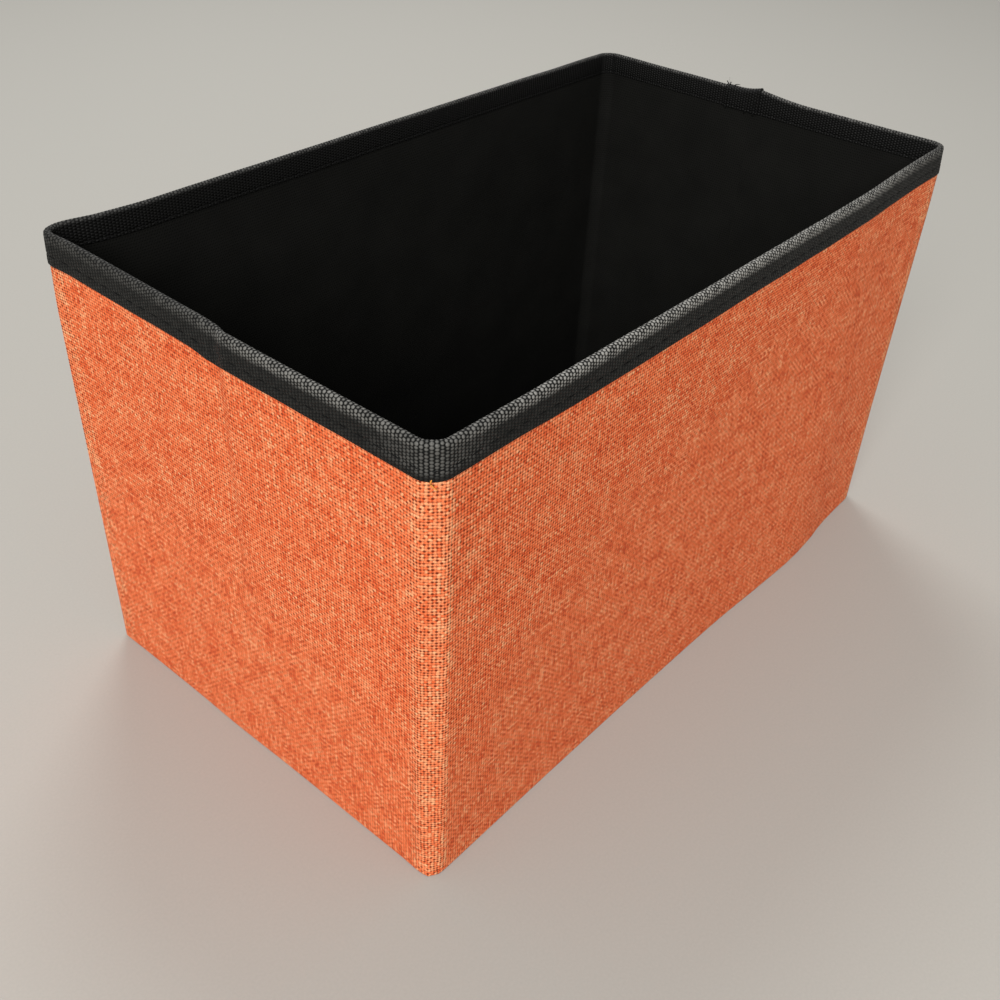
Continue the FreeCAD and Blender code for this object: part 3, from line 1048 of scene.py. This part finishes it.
def makeTapeLap():
    # the tape's two ends overlap beside the right crease; this is the upper end
    low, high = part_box("binding_lap")
    start, stop = low.y - lapForm["longer"], high.y
    tall = foldLine - tapeBottom

    def lapShift(run, depth, z):
        # the upper end stands up a little over the fold beside the crease
        inward, rise = tapeShift(run, depth, z)
        crown = clamped((z - tapeBottom) / tall)
        near = max(0.0, 1 - (run - start) / lapForm["liftLength"])
        return inward, rise + lapForm["lift"] * near * near * crown ** 3

    path, halves = tapePath(growth=coverNear)
    runs = gridRuns(start, stop, tapeYarn["ribPitch"] / tapeCut["ribRings"])
    piece = sweepBand("tapeLap", runs, path, halves, rimTape, tapeRelief, lapShift)
    carry(piece, wallCuts[-1])
    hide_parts("binding_lap")
    girth = float(np.sum(stepLengths(path)))
    # three upright rows of stitches through the lap, inside and out
    verts, faces = [], []
    thick = coverNear
    pitch = lapForm["stitchPitch"]
    inset, further = lapForm["rowInset"]
    for run in (start + inset, start + further, stop - inset):
        for number in range(int((tall - lapForm["rowFoot"]) / pitch)):
            foot = tapeBottom + lapForm["rowFoot"] + number * pitch
            for depth, outward in ((-thick, -1), (rimDepth + thick, 1)):
                points = []
                for share, dip in zip(stitchShares, stitchDips):
                    z = foot + (share + 1) / 2 * pitch * lapForm["stitchShare"]
                    points.append(wallPoint(run, depth + outward * (stitching["proud"] * 2 - dip), z))
                addThread(verts, faces, points, stitchRadii)
    rows = newPiece("stitchesLap", verts, faces, blackThread)
    carry(rows, wallCuts[-1])


looseEnds = {
    "frayRadius": 0.00022,
    "frayThinning": 0.7,
    "fraySteps": 14,
    # the lap's frayed threads: how far each leans along the rim, how tall and how thick it is
    "fray": ((0.0, 0.0040, 0.3), (0.0006, 0.0014, 2.0), (-0.0006, 0.0012, 2.0), (-0.0030, 0.0010, 2.0)),
    # the points of each thread: across the rim, along it, shares of its lean and height, and up
    "frayPoints": ((0.0, -0.0012, 1.0, 0.0, -0.0007), (-0.0004, -0.0014, 1.5, 0.4, 0.0),
                   (0.0003, -0.0004, 2.2, 0.8, 0.0), (0.0001, -0.0012, 2.6, 1.0, 0.0)),
    "amberRadius": 0.0004,
    "amberThinning": 0.5,
    "amberSteps": 12,
    # along the tape from the near corner, under the cover's face and up from the tape's edge
    "amberPoints": ((-0.0006, 0.0001, 0.0004), (-0.0010, -0.0002, -0.0012),
                    (0.0002, -0.0003, -0.0030), (0.0014, -0.0001, -0.0043)),
}


def smoothLine(knots, count):
    # a smooth line through a few chosen points
    points = []
    spans = len(knots) - 1
    for step in range(count):
        at = step / (count - 1) * spans
        i = min(int(at), spans - 1)
        t = at - i
        p0, p1, p2, p3 = [knots[min(max(i + k, 0), spans)] for k in (-1, 0, 1, 2)]
        points.append(0.5 * (2 * p1 + (p2 - p0) * t + (2 * p0 - 5 * p1 + 4 * p2 - p3) * t ** 2
                             + (3 * p1 - p0 - 3 * p2 + p3) * t ** 3))
    return points


def addLooseEnd(verts, faces, knots, kind, wide=1.0):
    steps = looseEnds[kind + "Steps"]
    thinning = looseEnds[kind + "Thinning"]
    radii = [looseEnds[kind + "Radius"] * wide * (1 - thinning * k / (steps - 1)) for k in range(steps)]
    addThread(verts, faces, smoothLine(knots, steps), radii)


def makeLooseEnds():
    # frayed threads standing up at the lap's end, and a short amber thread under the tape at the near corner
    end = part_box("binding_lap")[1]
    x = halfLength - rimDepth / 2
    verts, faces = [], []
    for lean, tall, wide in looseEnds["fray"]:
        knots = [Vector((x + across, end.y + along + lean * leanShare, end.z + tall * tallShare + up))
                 for across, along, leanShare, tallShare, up in looseEnds["frayPoints"]]
        addLooseEnd(verts, faces, knots, "fray", wide)
    fray = newPiece("frayLap", verts, faces, blackThread)
    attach(fray, "right_back_half")
    verts, faces = [], []
    run = sum(marks["cornerFrontLeft"]) / 2
    skin = coverNear - looseEnds["amberRadius"]
    knots = [wallPoint(run + along, skin + under, tapeBottom + up)
             for along, under, up in looseEnds["amberPoints"]]
    addLooseEnd(verts, faces, knots, "amber")
    amber = newPiece("amberThreadEnd", verts, faces, amberThread)
    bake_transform(amber)


makeTapeLap()
makeLooseEnds()
print("tape lap and loose ends made")


floorForm = {
    "step": 0.008,
    "bendStep": 0.0012,
    "edgeRadius": 0.0014,
    "underRim": 1.6,  # in edge radii, the flat underside beside the edge
    "innerEdge": 0.012,
    "hemRound": 0.0005,
    "hemFlat": 0.0006,
    "arcPoints": (6, 4),  # round the lower edge and over the hem's top
    "sidePoints": 3,
    "sleeveGap": 0.0003,
    "foldedKeep": 0.163,
}


def makeFloorCloth():
    # the sewn floor with its hem turned up all round to meet the walls
    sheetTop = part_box("base_sleeve")[0].z - floorForm["sleeveGap"]
    near, far = coverNear, liningFar
    top = hemTop
    edge, soft, flat = floorForm["edgeRadius"], floorForm["hemRound"], floorForm["hemFlat"]
    edgePoints, hemPoints = floorForm["arcPoints"]
    sidePoints = floorForm["sidePoints"]
    profile = [(floorForm["innerEdge"], 0.0), (near + edge * floorForm["underRim"], 0.0)]
    profile += arcLine((near + edge, edge), edge, 270, 180, edgePoints)
    profile += line((near, edge + flat), (near, top), sidePoints)
    profile += arcLine((far - soft, top - soft), soft, 90, 0, hemPoints)
    profile += line((far, top - 2 * soft), (far, sheetTop + flat), sidePoints)
    profile += [(far + flat, sheetTop), (floorForm["innerEdge"], sheetTop)]
    runs = gridRuns(0.0, wayRound, floorForm["step"], floorForm["bendStep"])[:-1]
    rows = len(profile)
    verts, uvs = [], []
    for run in runs:
        upright = Ring(run)
        for depth, z in profile:
            verts.append(upright.place(depth, z))
            uvs.append((run, z if depth < rimDepth / 2 else -depth))
    faces, black, hemTops = [], [], []
    for i in range(len(runs)):
        here, there = i * rows, ((i + 1) % len(runs)) * rows
        for k in range(rows - 1):
            if profile[k + 1][0] > rimDepth / 2 and profile[k + 1][1] > sheetTop - 1e-6:
                black.append(len(faces))
            if profile[k] == (near, top):
                hemTops.append(len(faces))
            faces.append((here + k, there + k, there + k + 1, here + k + 1))
    sheets = [len(faces), len(faces) + 1]
    faces.append(tuple(i * rows for i in range(len(runs)))[::-1])
    faces.append(tuple(i * rows + rows - 1 for i in range(len(runs))))
    piece = newPiece("floorCloth", verts, faces, coverWeave, uvs, flat=sheets + hemTops)
    piece.data.materials.append(liningCloth)
    for index in black + sheets[1:]:
        piece.data.polygons[index].material_index = 1
    layer = piece.data.uv_layers["weaveRun"].data
    for index in sheets:
        for corner in piece.data.polygons[index].loop_indices:
            layer[corner].uv = piece.data.vertices[piece.data.loops[corner].vertex_index].co.xy
    markCorners(piece)
    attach(piece, "back_wall")
    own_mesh(piece)
    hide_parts("floor_cloth")


sleeveForm = {
    "across": 44,
    "along": 72,
    "cloth": 0.00036,
    "cornerRadius": 0.008,
    "turnSteps": 6,
    "edgeRound": 0.0012,
    "endShares": (0.0, 0.25, 0.6, 1.0),  # of the rounded edge, at the sewn end
    "edgeShares": (0.0, 0.1, 0.3, 0.6, 1.0),  # and along the two sides
    "edgeHalf": 0.00045,
    "endRise": 0.02,
    "softness": 0.00006,
    "softWaves": 22,
    "softLayer": 4.0,
    "seamInset": 0.004,
    "stitchPitch": 0.0048,
    "stitchShare": 0.76,
    "stitchRadius": 0.00016,
    "stitchLow": 0.00012,
    "stitchSunk": 0.0003,
    "stitchSides": 5,
}


def sleeveHalfWidth(x, low, high):
    # half the sleeve's width at this station, with its rounded corners
    radius = sleeveForm["cornerRadius"]
    fromEnd = min(x - low.x, high.x - x)
    half = (high.y - low.y) / 2
    if fromEnd >= radius:
        return half
    return half - radius + math.sqrt(max(0.0, radius ** 2 - (radius - fromEnd) ** 2))


def sleeveStations(low, high):
    # where the sleeve is cut across: closer at its sewn end and round its corners
    radius, steps, along = sleeveForm["cornerRadius"], sleeveForm["turnSteps"], sleeveForm["along"]
    turns = [radius * (1 - math.cos(math.pi / 2 * k / steps)) for k in range(steps + 1)]
    stations = [low.x + sleeveForm["edgeRound"] * share for share in sleeveForm["endShares"]]
    stations += [low.x + turn for turn in turns[3:]]
    stations += [low.x + radius + (high.x - low.x - 2 * radius) * k / along for k in range(1, along)]
    return stations + [high.x - turn for turn in turns[::-1]]


def makeSleeveCloth(low, high):
    # the card's flat sleeve of lining cloth, open along the right end
    middle = (low.z + high.z) / 2
    half = (high.z - low.z) / 2
    edgeRound, across, softness = [sleeveForm[key] for key in ("edgeRound", "across", "softness")]
    stations = sleeveStations(low, high)
    verts, uvs = [], []
    for x in stations:
        wide = sleeveHalfWidth(x, low, high)
        flat = wide - edgeRound
        edges = [wide - edgeRound * share for share in sleeveForm["edgeShares"]]
        inner = across - 2 * len(edges)
        places = [-y for y in edges]
        places += [-flat + 2 * flat * k / (inner + 1) for k in range(1, inner + 1)]
        places += edges[::-1]
        for skin in (1, -1):
            for y in places[::skin]:
                fromSide = min(wide - abs(y), (x - low.x) + edgeRound * sleeveForm["endRise"])
                rounding = clamped(fromSide / edgeRound)
                curve = math.sqrt(max(0.0, 1 - (1 - rounding) ** 2))
                rise = sleeveForm["edgeHalf"] + (half - sleeveForm["edgeHalf"]) * curve
                at = Vector((x * sleeveForm["softWaves"], y * sleeveForm["softWaves"],
                             sleeveForm["softLayer"] + skin))
                lift = rise - softness * rounding + noise.noise(at) * softness * rounding
                verts.append((x, y, middle + skin * lift))
                uvs.append((x, y + (0 if skin == 1 else 1.0)))
    faces = tubeFaces(len(stations), 2 * across) + capFaces(0, across)
    return newPiece("baseSleeve", verts, faces, liningCloth, uvs)


def makeSleeveSeam(low, high):
    # one row of stitches along the sleeve's two sides and its sewn end
    inset, radius = sleeveForm["seamInset"], sleeveForm["cornerRadius"]
    left, right = low.x + inset, high.x - radius
    front, back = low.y + inset, high.y - inset
    sides = [(Vector((right, front, 0)), Vector((left + radius, front, 0))),
             (Vector((left, front + radius, 0)), Vector((left, back - radius, 0))),
             (Vector((left + radius, back, 0)), Vector((right, back, 0)))]
    share = sleeveForm["stitchShare"]
    verts, faces = [], []
    for start, stop in sides:
        count = int((stop - start).length / sleeveForm["stitchPitch"])
        for number in range(count):
            points = []
            for place in stitchShares:
                point = start.lerp(stop, (number + 0.5 + share * place / 2) / count)
                point.z = high.z - sleeveForm["stitchLow"] - sleeveForm["stitchSunk"] * place ** 6
                points.append(point)
            radii = [sleeveForm["stitchRadius"]] * len(points)
            addThread(verts, faces, points, radii, sleeveForm["stitchSides"])
    return newPiece("stitchesSleeve", verts, faces, blackThread)


def makeBase():
    # the loose base: the frame's card in its sleeve
    low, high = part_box("base_sleeve")
    sleeve = makeSleeveCloth(low, high)
    shell = sleeve.modifiers.new("cloth", "SOLIDIFY")
    shell.thickness = sleeveForm["cloth"]
    shell.offset = -1
    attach(sleeve, "base_board")
    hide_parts("base_sleeve")
    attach(makeSleeveSeam(low, high), "base_board")
    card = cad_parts["base_card"]
    card.data.materials.clear()
    card.data.materials.append(greyBoard)


makeFloorCloth()
makeBase()
print("floor cloth and base board made")


# Stage, lights and camera

studio = {
    "floorSize": 8.0,
    "floorSurface": {"roughness": 0.9, "specular": 0.1},
    "floorColour": (0.435, 0.424, 0.392),
    "floorCloud": (700.0, 3.0),
    "floorGrain": 0.02,
    "skyColour": (1.0, 0.99, 0.97),
    "skyStrength": 0.53,
    "keyLight": {"place": (-2.40, -1.26, 1.90), "power": 92.0, "size": 1.6, "colour": (1.0, 0.99, 0.97)},
    "backLight": {"place": (0.80, 1.05, 1.90), "power": 18.0, "size": 0.8, "colour": (1, 1, 1)},
}


def makeStage():
    size = studio["floorSize"]
    verts = [(-size, -size, 0), (size, -size, 0), (size, size, 0), (-size, size, 0)]
    paleFloor = Finish("paleFloor", **studio["floorSurface"])
    grain = paleFloor.cloud(paleFloor.objectSpot(), *studio["floorCloud"])
    dark, pale = [[c * (1 + side * studio["floorGrain"]) for c in studio["floorColour"]] for side in (-1, 1)]
    colour = paleFloor.ramp(grain, [(0.3, dark), (0.7, pale)])
    paleFloor.tree.links.new(colour, paleFloor.shader.inputs["Base Color"])
    newPiece("stageFloor", verts, [(0, 1, 2, 3)], paleFloor.material, flat=(0,))


def makeLight(name, place, power, size, colour):
    lamp = bpy.data.lights.new(name, "AREA")
    lamp.shape = "DISK"
    lamp.size = size
    lamp.energy = power
    lamp.color = colour
    light = bpy.data.objects.new(name, lamp)
    light.location = place
    aim = Vector((0, 0, binTop / 2)) - Vector(place)
    light.rotation_mode = "QUATERNION"
    light.rotation_quaternion = aim.to_track_quat("-Z", "Y")
    bpy.context.scene.collection.objects.link(light)


def makeLights():
    world = bpy.data.worlds.new("softRoom")
    bpy.context.scene.world = world
    world.use_nodes = True
    background = world.node_tree.nodes["Background"]
    background.inputs["Strength"].default_value = studio["skyStrength"]
    background.inputs["Color"].default_value = (*studio["skyColour"], 1.0)
    for name in ("keyLight", "backLight"):
        makeLight(name, **studio[name])


view = {
    "place": (-0.4508, -0.3493, 0.4813),
    "turn": 39.481,  # degrees from +X towards +Y
    "tilt": 37.305,  # below the horizon
    "roll": 2.880,
    "lens": 41.13,
    "sensor": 36.0,
    "clipStart": 0.01,
}


def makeCamera():
    turn, tilt, roll = [math.radians(view[key]) for key in ("turn", "tilt", "roll")]
    ahead = Vector((math.cos(tilt) * math.cos(turn), math.cos(tilt) * math.sin(turn), -math.sin(tilt)))
    right = ahead.cross(Vector((0, 0, 1))).normalized()
    above = right.cross(ahead)
    tiltedRight = math.cos(roll) * right + math.sin(roll) * above
    tiltedUp = -math.sin(roll) * right + math.cos(roll) * above
    lens = bpy.data.cameras.new("camera")
    lens.lens = view["lens"]
    lens.sensor_width = view["sensor"]
    lens.clip_start = view["clipStart"]
    camera = bpy.data.objects.new("camera", lens)
    camera.matrix_world = Matrix((tiltedRight, tiltedUp, -ahead)).transposed().to_4x4()
    camera.location = view["place"]
    bpy.context.scene.collection.objects.link(camera)
    bpy.context.scene.camera = camera


makeStage()
makeLights()
makeCamera()
bpy.context.scene.view_settings.view_transform = "Standard"
print("stage, lights and camera set")
